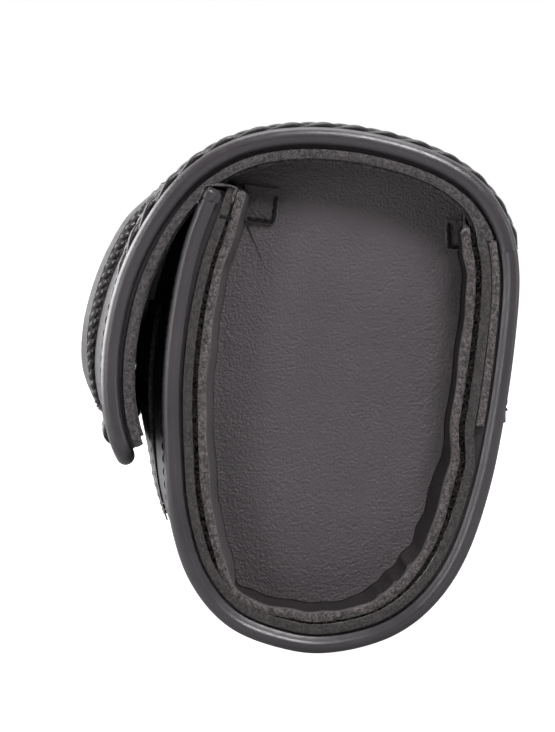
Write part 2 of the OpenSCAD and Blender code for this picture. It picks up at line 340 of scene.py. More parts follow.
def layer(outer, inner, levels=4, bulge=0.2, fuzz=0.12, seed=1):
    """A closed layer between two grids of points, with rounded cut edges all round.

    Returns the points, the faces and each face's kind: 0 outer, 1 inner, 2 cut edge."""
    rows, cols = outer.shape[:2]
    n = rows * cols
    grid = np.arange(n).reshape(rows, cols)
    rim = ([(0, j) for j in range(cols)] + [(i, cols - 1) for i in range(1, rows)]
           + [(rows - 1, j) for j in range(cols - 2, -1, -1)]
           + [(i, 0) for i in range(rows - 2, 0, -1)])
    ri = np.array([r[0] for r in rim])
    rj = np.array([r[1] for r in rim])
    inside = outer[np.clip(ri, 1, rows - 2), np.clip(rj, 1, cols - 2)]
    out = outer[ri, rj] - inside
    out /= np.maximum(np.linalg.norm(out, axis=1, keepdims=True), 1e-9)
    points = [outer.reshape(-1, 3), inner.reshape(-1, 3)]
    loops = [grid[ri, rj]]
    for k in range(1, levels):
        t = k / levels
        p = outer[ri, rj] * (1 - t) + inner[ri, rj] * t
        rough = noise(p, 1.3, seed) * 0.6 + noise(p, 0.55, seed + 1) * 0.4
        p = p + out * (bulge * math.sin(math.pi * t) + fuzz * rough)[:, None]
        loops.append(2 * n + (k - 1) * len(rim) + np.arange(len(rim)))
        points.append(p)
    loops.append(n + grid[ri, rj])
    faces, kinds = [], []
    a = np.stack([grid[:-1, :-1], grid[:-1, 1:], grid[1:, 1:], grid[1:, :-1]], -1).reshape(-1, 4)
    faces += a.tolist() + (a[:, ::-1] + n).tolist()
    kinds += [0] * len(a) + [1] * len(a)
    for k in range(levels):
        p, q = loops[k], loops[k + 1]
        strip = np.stack([np.roll(p, -1), p, q, np.roll(q, -1)], -1)
        faces += strip.tolist()
        kinds += [2] * len(strip)
    return np.concatenate(points), faces, kinds


def sweep(path, side, up, profile, closed=False):
    """A tube: the profile's two numbers go along side and up at each point of the path.
    profile is one list for all, or one for each point."""
    profile = np.asarray(profile, float)
    if profile.ndim == 2:
        profile = np.broadcast_to(profile, (len(path),) + profile.shape)
    count, m = profile.shape[:2]
    points = (path[:, None] + side[:, None] * profile[..., :1] + up[:, None] * profile[..., 1:2])
    index = np.arange(count * m).reshape(count, m)
    a, b = index, np.roll(index, -1, axis=1)
    if closed:
        pairs = (a, b, np.roll(b, -1, axis=0), np.roll(a, -1, axis=0))
    else:
        pairs = (a[:-1], b[:-1], b[1:], a[1:])
    faces = np.stack(pairs, -1).reshape(-1, 4).tolist()
    if not closed:
        faces += [index[0, ::-1].tolist(), index[-1].tolist()]
    return points.reshape(-1, 3), faces


def frames(path, up):
    """Unit side and up vectors along a path, up being close to the one given."""
    d = unit(np.gradient(path, axis=0))
    side = unit(np.cross(d, up))
    return side, np.cross(side, d)


def circle(radius, sides, start=0.0):
    a = np.linspace(0, 2 * math.pi, sides, endpoint=False) + start
    return np.stack([radius * np.cos(a), radius * np.sin(a)], -1)


def resample(path, step):
    """The same polyline with points about step apart, and how far along the old one each is."""
    s = lengths_along(path)
    t = np.linspace(0, s[-1], max(2, int(round(s[-1] / step)) + 1))
    return np.stack([np.interp(t, s, path[:, k]) for k in range(path.shape[1])], -1), t


def stitches(path, up, pitch, length, radius, lift=0.35, slant=0.0):
    """A row of thread stitches along a path of surface points."""
    both, s = resample(np.concatenate([path, up], axis=1), 0.25)
    path, up = both[:, :3], unit(both[:, 3:])
    side, _ = frames(path, up)
    parts = []
    t = np.linspace(0, 1, 7)
    for k in range(int(s[-1] // pitch)):
        at = (k + 0.5) * pitch + (t - 0.5) * length
        if at[0] < 0 or at[-1] > s[-1]:
            continue
        pick = [np.stack([np.interp(at, s, v[:, c]) for c in range(3)], -1)
                for v in (path, up, side)]
        rise = lift * np.sin(math.pi * t) ** 0.6 - radius * 1.3 * (np.abs(2 * t - 1) > 0.9)
        line = pick[0] + pick[1] * rise[:, None] + pick[2] * ((t - 0.5) * slant)[:, None]
        a, b = frames(line, pick[1])
        parts.append(sweep(line, a, b, circle(radius, 6)))
    return merge(parts)


# ---------------------------------------------------------------- materials
class Nodes:
    """A small helper for one material's node tree."""

    def __init__(self, name):
        self.material = bpy.data.materials.new(name)
        self.material.use_nodes = True
        self.tree = self.material.node_tree
        self.shader = self.tree.nodes["Principled BSDF"]
        self.place = self.add("ShaderNodeTexCoord").outputs["Object"]

    def add(self, kind, links=(), **values):
        node = self.tree.nodes.new(kind)
        for key, value in values.items():
            setattr(node, key, value)
        for socket, source in dict(links).items():
            if hasattr(source, "is_output"):
                self.tree.links.new(source, node.inputs[socket])
            else:
                node.inputs[socket].default_value = source
        return node

    def noise(self, size, detail=3.0, rough=0.55, distortion=0.0, place=None):
        links = {"Vector": place or self.place, "Scale": 1 / (size * MM), "Detail": detail,
                 "Roughness": rough, "Distortion": distortion}
        return self.add("ShaderNodeTexNoise", links).outputs["Fac"]

    def cells(self, size, feature="F1", place=None):
        links = {"Vector": place or self.place, "Scale": 1 / (size * MM)}
        return self.add("ShaderNodeTexVoronoi", links, feature=feature).outputs["Distance"]

    def map(self, source, low, high, to_low, to_high):
        links = {"Value": source, "From Min": low, "From Max": high, "To Min": to_low,
                 "To Max": to_high}
        return self.add("ShaderNodeMapRange", links).outputs["Result"]

    def math(self, operation, a, b):
        return self.add("ShaderNodeMath", {0: a, 1: b}, operation=operation).outputs[0]

    def weigh(self, a, share, b, rest):
        return self.math("ADD", self.math("MULTIPLY", a, share), self.math("MULTIPLY", b, rest))

    def shades(self, source, stops):
        ramp = self.add("ShaderNodeValToRGB", {"Fac": source})
        ramp.color_ramp.elements[0].position = stops[0][0]
        ramp.color_ramp.elements[0].color = (*stops[0][1], 1)
        ramp.color_ramp.elements[1].position = stops[-1][0]
        ramp.color_ramp.elements[1].color = (*stops[-1][1], 1)
        for at, colour in stops[1:-1]:
            ramp.color_ramp.elements.new(at).color = (*colour, 1)
        return ramp.outputs["Color"]

    def bump(self, height, distance, strength=1.0, normal=None):
        links = {"Height": height, "Distance": distance * MM, "Strength": strength}
        if normal:
            links["Normal"] = normal
        return self.add("ShaderNodeBump", links).outputs["Normal"]

    def finish(self, **inputs):
        for key, value in inputs.items():
            socket = self.shader.inputs[key.replace("_", " ")]
            if hasattr(value, "is_output"):
                self.tree.links.new(value, socket)
            else:
                socket.default_value = value
        return self.material


def tint(colour, factor):
    return tuple(c * factor for c in colour)


def leather(name, colour, grain, depth, rough, sheen=0.0, creases=0.5):
    """Dyed leather: pebbles of the grain size, finer pores, creases and worn, uneven dye."""
    n = Nodes(name)
    warp = n.noise(grain * 3.5, 2)
    pebbles = n.cells(grain, "SMOOTH_F1")
    fine = n.noise(grain * 0.42, 4, 0.6)
    crease = n.noise(grain * 7, 5, 0.68, 1.6)
    blotch = n.noise(38, 3)
    shade = n.math("ADD", n.map(fine, 0.3, 0.7, -0.16, 0.16), n.map(blotch, 0.3, 0.7, 0.3, 0.7))
    colour_out = n.shades(shade, [(0.15, tint(colour, 0.78)), (0.5, colour), (0.9, tint(colour, 1.28))])
    height = n.math("ADD", n.map(pebbles, 0.0, 0.75, 1.0, 0.0), n.map(fine, 0.3, 0.7, 0.0, 0.45))
    normal = n.bump(height, depth)
    normal = n.bump(n.math("ADD", crease, n.map(warp, 0, 1, 0, 0.4)), depth * 4 * creases, 0.6, normal)
    rough_out = n.map(n.math("ADD", fine, blotch), 0.6, 1.4, rough - 0.08, rough + 0.1)
    return n.finish(Base_Color=colour_out, Roughness=rough_out, Normal=normal,
                    Sheen_Weight=sheen, Sheen_Roughness=0.5)


def raw_edge(name, colour):
    """The cut edge of the leather: pale compressed fibres along with dyed ones."""
    n = Nodes(name)
    fibres = n.noise(0.9, 5, 0.7, 0.8)
    fine = n.noise(0.35, 3, 0.7)
    mixed = n.weigh(fibres, 0.65, fine, 0.35)
    colour_out = n.shades(mixed, [(0.44, tint(colour, 0.12)), (0.5, colour), (0.56, tint(colour, 2.6))])
    normal = n.bump(mixed, 0.7, 1.0)
    return n.finish(Base_Color=colour_out, Roughness=0.9, Normal=normal, Sheen_Weight=0.25,
                    Sheen_Roughness=0.6)


def suede(name, colour, sheen=0.35):
    """Napped leather, brushed in soft streaks."""
    n = Nodes(name)
    nap = n.noise(1.1, 5, 0.7, 0.6)
    brushed = n.noise(14, 3, 0.6, 0.8)
    shade = n.weigh(nap, 0.5, brushed, 0.5)
    colour_out = n.shades(shade, [(0.35, tint(colour, 0.6)), (0.5, colour), (0.66, tint(colour, 1.5))])
    return n.finish(Base_Color=colour_out, Roughness=0.95, Normal=n.bump(nap, 0.25, 0.8),
                    Sheen_Weight=sheen, Sheen_Roughness=0.55, Specular_IOR_Level=0.2)


def cord_cover(name, colour, rough):
    """Thin smooth leather drawn tight over a cord."""
    n = Nodes(name)
    pull = n.noise(5, 3, 0.6, 1.2)
    pores = n.noise(0.5, 3, 0.6)
    blotch = n.noise(22, 2)
    colour_out = n.shades(n.weigh(pores, 0.3, blotch, 0.7),
                          [(0.35, tint(colour, 0.82)), (0.65, tint(colour, 1.2))])
    normal = n.bump(pores, 0.05, 0.7, n.bump(pull, 0.3, 0.25))
    return n.finish(Base_Color=colour_out, Roughness=n.map(pull, 0.3, 0.7, rough - 0.06, rough + 0.08),
                    Normal=normal, Specular_IOR_Level=0.55)


def thread(name, colour, sheen):
    """Twisted thread, lighter and darker by its fibres."""
    n = Nodes(name)
    fibre = n.noise(0.3, 4, 0.7)
    colour_out = n.shades(fibre, [(0.35, tint(colour, 0.6)), (0.7, tint(colour, 1.7))])
    return n.finish(Base_Color=colour_out, Roughness=0.75, Normal=n.bump(fibre, 0.12, 0.8),
                    Sheen_Weight=sheen, Sheen_Roughness=0.4, Specular_IOR_Level=0.25)


def nickel(name):
    n = Nodes(name)
    scratch = n.noise(1.5, 5, 0.7, 2.0)
    return n.finish(Base_Color=n.shades(scratch, [(0.3, (0.62, 0.62, 0.64)), (0.7, (0.8, 0.8, 0.82))]),
                    Metallic=1.0, Roughness=n.map(scratch, 0.3, 0.7, 0.1, 0.24),
                    Normal=n.bump(scratch, 0.03, 0.4))


SHELL = leather("shell_leather", (0.024, 0.022, 0.0235), 1.1, 0.1, 0.4)
PANEL = leather("panel_leather", (0.062, 0.053, 0.059), 0.65, 0.25, 0.5, 0.05, 0.2)
TRIM = leather("trim_leather", (0.03, 0.027, 0.029), 0.9, 0.05, 0.34)
LACE = leather("braid_leather", (0.018, 0.016, 0.017), 0.8, 0.05, 0.34)
EDGE = raw_edge("cut_edge", (0.053, 0.043, 0.044))
# The wrap's cut edges and the slots' walls take a much darker copy of the cut edge; the extra darkness
# is painted shade of the gap under the piping.
SHADED_WRAP_EDGE = raw_edge("wrap_edge_painted_shade", (0.019, 0.0145, 0.0145))
DYED_EDGE = raw_edge("dyed_edge", (0.03, 0.025, 0.027))
SUEDE = suede("suede_lining", (0.012, 0.01, 0.011))
COVER = cord_cover("piping_cover", (0.04, 0.035, 0.04), 0.34)
THREAD = thread("black_thread", (0.005, 0.0045, 0.005), 0.0)
NICKEL = nickel("nickel_plate")
# Darker napped leather for the recess's walls past FRONT_WALL_TO: its darkness is painted shade on
# those walls.
WALL_PAINTED_SHADE = suede("wall_suede_painted_shade", (0.024, 0.02, 0.021), 0.0)
FIBRE = thread("loose_fibre", (0.03, 0.022, 0.021), 0.2)
LAYERED = [SHELL, SUEDE, SHADED_WRAP_EDGE]


# ---------------------------------------------------------------- the body's sheets
def across(half, dense=0.75, wide=4.0):
    """Stations along X from end to end, closer together near the ends."""
    inner = half - 16
    x = np.concatenate([np.linspace(0, inner, int(inner / wide) + 1)[:-1],
                        np.linspace(inner, half, int(16 / dense) + 1)])
    return np.concatenate([-x[:0:-1], x])


def layered(name, parts, body, replaced, materials=LAYERED, sharp=40):
    points, faces, kinds = parts
    return make(name, (points, faces), body, materials, replaced, kinds, sharp)


def undulation(p, seed, size):
    """Slight waves in a sheet, which die out towards the ends."""
    fade = smooth((EDGE_X - np.abs(p[..., 0])) / 25)
    return noise(p, 34, seed) * size * fade


def body_sheet(name, below, thickness, u0, u1, half, replaced, step=1.5):
    u, x = np.meshgrid(even(u0, u1, step), across(half), indexing="ij")
    depth = wrap_depth(u, x) + below
    depth = depth + undulation(point(u, x, 0), 3, 0.35)
    outer = pressed(point(u, x, depth), below)
    inner = pressed(point(u, x, depth + thickness), below + thickness)
    return cut_slots(layered(name, layer(outer, inner), "pouch", replaced))


SLOT_L, SLOT_W, SLOT_RISE = 34.0, 5.0, 28.0
SLOT_CUT_Y = (36, 62)  # the cutter's reach, from inside the pouch to behind its back
MOUNT_Z = (STRIP_LOW + STRIP_HIGH) / 2


def slot_places():
    return [(sx * STRAP_X, MOUNT_Z + sz * SLOT_RISE / 2) for sx in (-1, 1) for sz in (-1, 1)]


def slot_ring(grow, sides=24):
    """A slot's outline in x and z about its centre, grown by a margin."""
    a = np.linspace(0, 2 * math.pi, 2 * sides, endpoint=False) + 1e-3
    r = SLOT_W / 2 + grow
    shift = np.where(np.cos(a) > 0, 1, -1) * (SLOT_L - SLOT_W) / 2
    return np.stack([shift + r * np.cos(a), r * np.sin(a)], -1)


def cut_slots(obj):
    """Adds the side walls of the four strap slots to a sheet, but leaves the slots filled.

    The cutter's faces point inwards, so the boolean keeps the leather inside them."""
    ring = slot_ring(0)
    m = len(ring)
    parts = []
    for x, z in slot_places():
        loops = [np.stack([x + ring[:, 0], np.full(m, y), z + ring[:, 1]], -1) for y in SLOT_CUT_Y]
        faces = [[i, (i + 1) % m, m + (i + 1) % m, m + i] for i in range(m)]
        faces += [list(range(m))[::-1], list(range(m, 2 * m))]
        parts.append((np.concatenate(loops), faces))
    points, faces = merge(parts)
    mesh = bpy.data.meshes.new("slot_cutter")
    mesh.from_pydata((points * MM).tolist(), [], faces)
    for m in LAYERED:
        mesh.materials.append(m)
    mesh.polygons.foreach_set("material_index", [2] * len(mesh.polygons))
    cutter = bpy.data.objects.new("slot_cutter", mesh)
    bpy.context.scene.collection.objects.link(cutter)
    cut = obj.modifiers.new("slots", "BOOLEAN")
    cut.object = cutter
    cut.solver = "EXACT"
    bpy.context.view_layer.update()
    result = bpy.data.meshes.new_from_object(obj.evaluated_get(bpy.context.evaluated_depsgraph_get()))
    obj.modifiers.clear()
    obj.data = result
    bpy.data.objects.remove(cutter)
    return obj


body_sheet("wrap_leather", 0, LEATHER, LIP, SPLIT, EDGE_X, ["wrap_shell"])
body_sheet("wrap_suede", LEATHER + SKIN_GAP, LINING, LIP + 0.05, SPLIT, EDGE_X - 3,
           ["wrap_lining"], 2.5)


def strip_tuck(x):
    """0 on the strip's flat middle and 1 at its ends, drawn in under the piping."""
    return smooth((9.1 - (EDGE_X - np.abs(x))) / 5.5)


def strip_y(x, z, depth=0.0):
    """The strip's outer face: flat, and drawn in under the piping at the ends."""
    u_back = np.linspace(12, 18, 200)
    c = curve(u_back)
    end = np.interp(z, c[:, 1], c[:, 0] - outward(u_back)[:, 0] * TUCK_DEPTH)
    t = strip_tuck(x)
    return BACK_Y * (1 - t) + end * t - depth


def mount_strip():
    z, x = np.meshgrid(np.linspace(STRIP_LOW, STRIP_HIGH, 34), across(EDGE_X), indexing="ij")
    outer = np.stack([x, strip_y(x, z), z], -1)
    thickness = LEATHER - (LEATHER - STRIP_EDGE) * strip_tuck(x)
    inner = np.stack([x, strip_y(x, z, thickness), z], -1)
    obj = layered("back_strip", layer(outer, inner, seed=9), "pouch",
                  ["back_mount_strip"], [SHELL, SUEDE, EDGE])
    cut_slots(obj)
    rows = []

    def sew(xs, ys, zs, stitch):
        path = np.stack([xs, ys + 0.05, zs], -1)
        rows.append(stitches(path, np.tile([0.0, 1.0, 0.0], (len(xs), 1)), *stitch))

    for z0 in (STRIP_LOW + 3, STRIP_HIGH - 3):
        xs = np.linspace(-140, 140, 280)
        sew(xs, strip_y(xs, z0), np.full_like(xs, z0), STRIP_STITCH)
    for sx in (-1, 1):
        for inset in (12.5, 16.0):
            zs = np.linspace(STRIP_LOW + 3.5, STRIP_HIGH - 3.5, 60)
            xs = np.full_like(zs, sx * (EDGE_X - inset))
            sew(xs, strip_y(xs, zs), zs, STRIP_STITCH)
    for x0, z0 in slot_places():
        ring = slot_ring(2.6, 40)
        ring = np.concatenate([ring, ring[:1]])
        sew(x0 + ring[:, 0], np.full(len(ring), BACK_Y), z0 + ring[:, 1], SLOT_STITCH)
    make("back_strip_stitches", merge(rows), "pouch", [THREAD])


mount_strip()


# ---------------------------------------------------------------- the recessed ends
CENTRE = np.array([8.0, 62.0])  # middle of the end panel, in y and z


def panel_arch(start, stop, count):
    """The panel's free top edge, from the crease side over to the lip, in y and z."""
    places = (17.95, 18.4, 19, 19.7, 20.4, 21.1, 21.8, 22.4)
    guide = [start] + [point(u, EDGE_X, 6.6)[1:] for u in places]
    guide += [point(22.5, EDGE_X, 7.5)[1:], stop]
    guide = np.array([2 * guide[0] - guide[1]] + guide + [2 * guide[-1] - guide[-2]])
    t = np.linspace(1, len(guide) - 2.001, count)
    i = t.astype(int)
    f = (t - i)[:, None]
    after = guide[np.minimum(i + 2, len(guide) - 1)]
    return spline(guide[i - 1], guide[i], guide[i + 1], after, f)


def panel_dome(r, angle):
    """How far the panel stands out of its own plane, r being 1 at its edge and 0 at its middle."""
    return 0.9 * (1 - r**4) + 0.25 * np.sin(3 * angle + 1) * r**2 * (1 - r)


PANEL_T = 2.2
PANEL_BACK_X = RECESS_X - PANEL_T
ARCH_STATIONS = 46  # along the panel's free top edge
FRONT_WALL_TO = 6.5  # up to this u the wall is lit, smooth and no darker than the panel; past it the darker wall suede paints the shade on the wall


def end_panel(sign, tag):
    """Flange, slanted wall and pebbled panel in one closed sheet, built for the right end."""
    u = even(0.06, 17.42, 0.8)
    n = len(u)
    d0 = flange_depth(u)
    wall = wall_width(u)
    way = length_at(u)
    ends = smooth((way - way[0]) / 1.2) * smooth((way[-1] - way) / 1.6)
    edge_x = RECESS_X + 3 + (EDGE_X - 0.5 - RECESS_X - 3) * ends**0.5
    edge_x = edge_x + 0.35 * np.sin(u * 4.7) * ends
    ripple = (0.16 * np.sin(u * 3.1) + 0.14 * np.sin(u * 7.3 + 1)) * ends
    pleat = sum(np.exp(-((u - place) / 0.09) ** 2) for place in (10.15, 10.7, 11.25))
    lip_rise = 0.8 * smooth(1 - u / LIP_REACH)

    def at(depth, x):
        yz = point(u, END_X, depth)[:, 1:]
        yz[:, 1] += lip_rise
        return yz, np.broadcast_to(x, (n,))

    t = LEATHER * (0.35 + 0.65 * ends) + ripple
    rows = [at(d0 + 0.1, PANEL_BACK_X), at(d0 + 0.05, (RECESS_X + edge_x) / 2),
            at(d0, edge_x - 0.5)]
    kinds = [1, 1, 2]
    for k in range(5):  # the raw edge, slightly rounded
        f = k / 4
        rows.append(at(d0 + t * (0.06 + 0.88 * f), edge_x + 0.25 * math.sin(math.pi * f) - 0.1))
        kinds.append(2)
    rows.append(at(d0 + t, edge_x - 0.5))
    kinds.append(0)
    # Wall rows are kind 3 and get the darker wall suede, which paints the walls' shade.
    for f in (0.15, 0.3, 0.45, 0.6, 0.75, 0.88, 1.0):  # the wall, slanting in with its pleats
        d = d0 + t + wall * f**1.4 + 0.75 * pleat * math.sin(math.pi * f) ** 0.7
        rows.append(at(d, edge_x - 0.5 + (RECESS_X - 0.2 - edge_x + 0.5) * f))
        kinds.append(3)
    rows.append(at(d0 + t + wall + 0.08, RECESS_X - 0.35))  # the crease round the panel
    kinds.append(3)
    rows.append(at(d0 + t + wall + 0.3, RECESS_X - 0.12))
    kinds.append(0)
    yz = np.stack([r[0] for r in rows])  # rows, stations, y and z
    xs = np.stack([r[1] for r in rows])
    m = ARCH_STATIONS
    arch = panel_arch(yz[-1, -1], yz[-1, 0], m + 2)[1:-1]
    out = unit(arch - CENTRE)
    blend_in = np.minimum(np.arange(1, m + 1), np.arange(m, 0, -1)) / 5
    blend_in = np.clip(blend_in, 0, 1)[:, None]
    arch_yz, arch_x = [], []
    for k in range(len(rows)):
        side = np.linspace(0, 1, m)[:, None]
        push = (yz[k, -1] - yz[-1, -1]) * (1 - side) + (yz[k, 0] - yz[-1, 0]) * side
        own = out * (0.5 * (1 - k / (len(rows) - 1)))
        arch_yz.append(arch + push * (1 - blend_in) + own * blend_in)
        flat = PANEL_BACK_X if k == 0 else RECESS_X - 0.3 * (1 - k / len(rows))
        near = (xs[k, -1] * (1 - side) + xs[k, 0] * side)[:, 0]
        b = np.clip(blend_in[:, 0] * 1.6, 0, 1)
        arch_x.append(near * (1 - b) + flat * b)
    yz = np.concatenate([yz, np.stack(arch_yz)], axis=1)
    xs = np.concatenate([xs, np.stack(arch_x)], axis=1)
    total = n + m
    rim, base = yz[-1], yz[0]
    angle = np.arctan2(rim[:, 1] - CENTRE[1], rim[:, 0] - CENTRE[0])
    rings_yz, rings_x = [], []
    steps = np.linspace(1, 0, 40)[1:-1]
    for r in steps:
        rings_yz.append(CENTRE + (rim - CENTRE) * r)
        rings_x.append(RECESS_X - 0.15 + panel_dome(r, angle) * smooth((1 - r) / 0.12))
    back_yz = [CENTRE + (base - CENTRE) * r for r in steps[::6]]
    all_yz = np.concatenate([np.stack(back_yz[::-1]), yz, np.stack(rings_yz)])
    all_x = np.concatenate([np.full((len(back_yz), total), PANEL_BACK_X), xs, np.stack(rings_x)])
    points = np.concatenate([all_x[..., None], all_yz], -1).reshape(-1, 3)
    count = len(all_yz)
    index = np.arange(count * total).reshape(count, total)
    nxt = np.roll(index, -1, axis=1)
    kinds = [1] * len(back_yz) + kinds + [0] * (len(steps) - 1)
    faces, face_kinds = [], []
    # Before FRONT_WALL_TO the wall rows take the panel's leather; after it they take the darker suede
    # that paints the walls' shade.
    front = int(np.sum(u < FRONT_WALL_TO))
    for k in range(count - 1):
        quads = np.stack([index[k], nxt[k], nxt[k + 1], index[k + 1]], -1)
        faces += quads.tolist()
        face_kinds += [0 if kinds[k] == 3 else kinds[k]] * front + [kinds[k]] * (total - front)
    back_mid, front_mid = len(points), len(points) + 1
    points = np.concatenate([points, [[PANEL_BACK_X, *CENTRE], [RECESS_X + 0.75, *CENTRE]]])
    faces += [[a, back_mid, b] for a, b in zip(index[0], nxt[0])]
    face_kinds += [1] * total
    faces += [[a, b, front_mid] for a, b in zip(index[-1], nxt[-1])]
    face_kinds += [0] * total
    grain = noise(points, 9, 5)[:, None] * np.array([0.12, 0, 0])
    points = (points + grain) * np.array([sign, 1, 1])
    if sign > 0:
        faces = [f[::-1] for f in faces]
    faces = [[int(i) for i in f] for f in faces]
    make("end_panel_" + tag, (points, faces), "pouch", [PANEL, SUEDE, EDGE, WALL_PAINTED_SHADE],
         ["end_panel_" + tag], face_kinds)


def groove_thread(sign, tag):
    """The thread that sews the end's flange to the wrap, looped over the edges in the groove."""
    s = np.arange(length_at(0.45), length_at(17.2), 0.28)
    u = u_at(s)
    wander = noise(np.stack([s, 0 * s, 0 * s + sign], -1), 5.5, 8)
    turn = 2 * math.pi * (s / 2.6 + 0.7 * wander)
    mid = flange_depth(u) - groove(u) / 2
    half = 0.15 + 0.3 * groove(u) * (1 + 0.5 * wander)
    open_share = smooth((groove(u) - 0.3) / 0.6)
    x = END_X - 2.1 + 0.4 * np.sin(turn) + 0.25 * wander - 1.2 * (1 - open_share)
    path = point(u, END_X, mid + half * np.cos(turn))
    path[:, 0] = x
    path += noise(path, 1.4, 7)[:, None] * 0.3
    path[:, 0] *= sign
    side, above = frames(path, up_from(u) + np.array([0.35 * sign, 0, 0]))
    make("groove_thread_" + tag, sweep(path, side, above, circle(0.3, 7)), "pouch", [THREAD])


def edge_fibres(sign, tag, count=2600):
    """Loose fibres that stand out of the cut edges and fill the groove between them."""
    draw = np.random.default_rng(11)
    u = u_at(draw.uniform(length_at(0.3), length_at(17.3), count))
    kind = draw.uniform(size=count)
    start = wrap_depth(u, EDGE_X)
    groove_at = flange_depth(u) - groove(u) * draw.uniform(0.0, 1.0, count)
    wrap_at = start + LEATHER * draw.uniform(-0.1, 1.0, count)
    flange_at = flange_depth(u) + LEATHER * draw.uniform(0.0, 0.5, count)
    depth = np.where(kind < 0.5, groove_at, np.where(kind < 0.88, wrap_at, flange_at))
    base = point(u, END_X, depth)
    base[:, 0] = np.where(kind < 0.5, EDGE_X - draw.uniform(0.3, 1.6, count), EDGE_X - 0.12)
    lean = draw.normal(0, 0.9, count)[:, None] * forward_from(u)
    lean = lean + draw.normal(0, 0.7, count)[:, None] * up_from(u)
    lean[:, 0] += draw.uniform(0.05, 0.45, count)
    lean = unit(lean)
    curl = np.cross(lean, draw.normal(0, 1, (count, 3))) * 0.35
    size = draw.uniform(0.5, 1.3, count)[:, None]
    parts = []
    for k in range(count):
        line = np.stack([base[k], base[k] + (lean[k] * 0.5 + curl[k] * 0.4) * size[k],
                         base[k] + lean[k] * size[k]])
        line[:, 0] = np.minimum(line[:, 0], END_X - 0.1) * sign
        side, above = frames(line, np.array([0.31, 0.62, 0.72]))
        thin = np.array([1.0, 0.8, 0.35])[:, None, None] * circle(0.075, 3)
        parts.append(sweep(line, side, above, thin))
    make("edge_fibres_" + tag, merge(parts), "pouch", [FIBRE])


for end_sign, end_tag in ENDS:
    end_panel(end_sign, end_tag)
    groove_thread(end_sign, end_tag)
    edge_fibres(end_sign, end_tag)


# ---------------------------------------------------------------- piping
def piping_profile(radius, bead=True, sides=30):
    """The cord's round cover with the small second bead that runs along it."""
    a = np.linspace(0, 2 * math.pi, sides, endpoint=False)
    r = np.full(sides, float(radius))
    if bead:
        centre = np.array([0.75, -(radius + 0.12)])
        along = centre[0] * np.cos(a) + centre[1] * np.sin(a)
        across_it = centre @ centre - along**2
        hit = (across_it < BEAD_R**2) & (along > 0)
        r = np.where(hit, np.maximum(r, along + np.sqrt(np.maximum(BEAD_R**2 - across_it, 0))), r)
    return np.stack([r * np.cos(a), r * np.sin(a)], -1)


def piping_tube(name, u, x, outwards, radius, replaced, body, cap=True, bead=True, fuller=None,
                proud=0.05):
    """A piping along u and x. outwards points away from the leather's middle at each point, and
    fuller says how much thicker than the radius it is there."""
    fuller = np.ones_like(u) if fuller is None else fuller
    path = point(u, x, radius * fuller + proud)
    up = up_from(u)
    d = unit(np.gradient(path, axis=0))
    side = unit(square_to(square_to(outwards, up), d))
    up = unit(square_to(up, d))
    profile = piping_profile(radius, bead)
    along = lengths_along(path)
    shape = np.broadcast_to(profile, (len(u),) + profile.shape).copy()
    shape *= (fuller + 0.012 * noise(path, 6, 4))[:, None, None]
    if cap:
        for distance in (along, along[-1] - along):
            shrink = np.sqrt(np.clip(1 - (1 - np.clip(distance / 1.6, 0, 1)) ** 2, 0.02, 1))
            shape *= shrink[:, None, None]
    points, faces = sweep(path, side, up, shape)
    flipped = np.dot(np.cross(side[0], up[0]), d[0]) > 0
    if not flipped:
        faces = [f[::-1] for f in faces]
    return make(name, (points, faces), body, [COVER], replaced, sharp=60)


def welt(name, u, x, outwards, body, top, bottom, reach=4.5):
    """The piping's sewn-in welt, which closes the gap between its tube and the leather."""
    up = up_from(u)
    base = point(u, x, top)
    d = unit(np.gradient(base, axis=0))
    side = unit(square_to(square_to(outwards, d), up))
    drop = top - bottom
    section = [np.stack([np.full_like(u, a), f * drop], -1)
               for a, f in ((0.0, 0.0), (0.25, 0.5), (0.0, 1.0), (-reach, 1.0), (-reach, 0.0))]
    points, faces = sweep(base, side, up, np.stack(section, axis=1))
    if np.dot(np.cross(side[0], up[0]), d[0]) < 0:
        faces = [f[::-1] for f in faces]
    return make(name, (points, faces), body, [TRIM])


def body_piping(sign, tag):
    way = even(0.02, SPLIT, 0.9)
    outwards = np.tile([float(sign), 0, 0], (len(way), 1))
    middle = np.full_like(way, sign * (END_X - TUBE_R))
    piping_tube("body_piping_" + tag + "_cover", way, middle, outwards, TUBE_R,
                ["body_piping_" + tag], "pouch", cap=False,
                fuller=1 + 0.06 * window(way, 5.0, 8.0, 2.0))
    top = np.full_like(way, 2 * TUBE_R - 0.7)
    x = np.full_like(way, sign * (EDGE_X - 2.2))
    welt("body_piping_" + tag + "_welt", way, x, outwards, "pouch", top, wrap_depth(way, x) + 0.15)
    # the cord cover's folded end at the lip, with its double crease
    for part, start, stop, more in (("end", 0.0, 4.0, 0.45), ("fold", 4.8, 5.6, 0.4)):
        ring = even(float(u_at(start)), float(u_at(stop)), 0.2)
        middle = np.full_like(ring, sign * (END_X - TUBE_R - 0.1))
        piping_tube("lip_sleeve_" + part + "_" + tag, ring, middle, outwards[:len(ring)],
                    TUBE_R + more, [], "pouch", proud=-0.3)


for end_sign, end_tag in ENDS:
    body_piping(end_sign, end_tag)


# ---------------------------------------------------------------- the flap
TIP_LENGTH = float(length_at(TIP))
FLAP_REACH = TIP_LENGTH - float(length_at(SPLIT))


def flap_grid(edge, half, step=1.6):
    """Stations over the flap: rows from the crease to the tip, inside its rounded corners."""
    plain = np.arange(FLAP_REACH, 18, -step)
    near = np.linspace(18, edge, 24)
    s = np.concatenate([plain, near])
    v = across(half) / half
    short = np.maximum(CORNER_R - s, 0)
    width = half - (CORNER_R - np.sqrt(np.maximum(CORNER_R**2 - short**2, 0)))
    s, v = np.meshgrid(s, v, indexing="ij")
    return u_at(TIP_LENGTH - s), v * width[:, None]


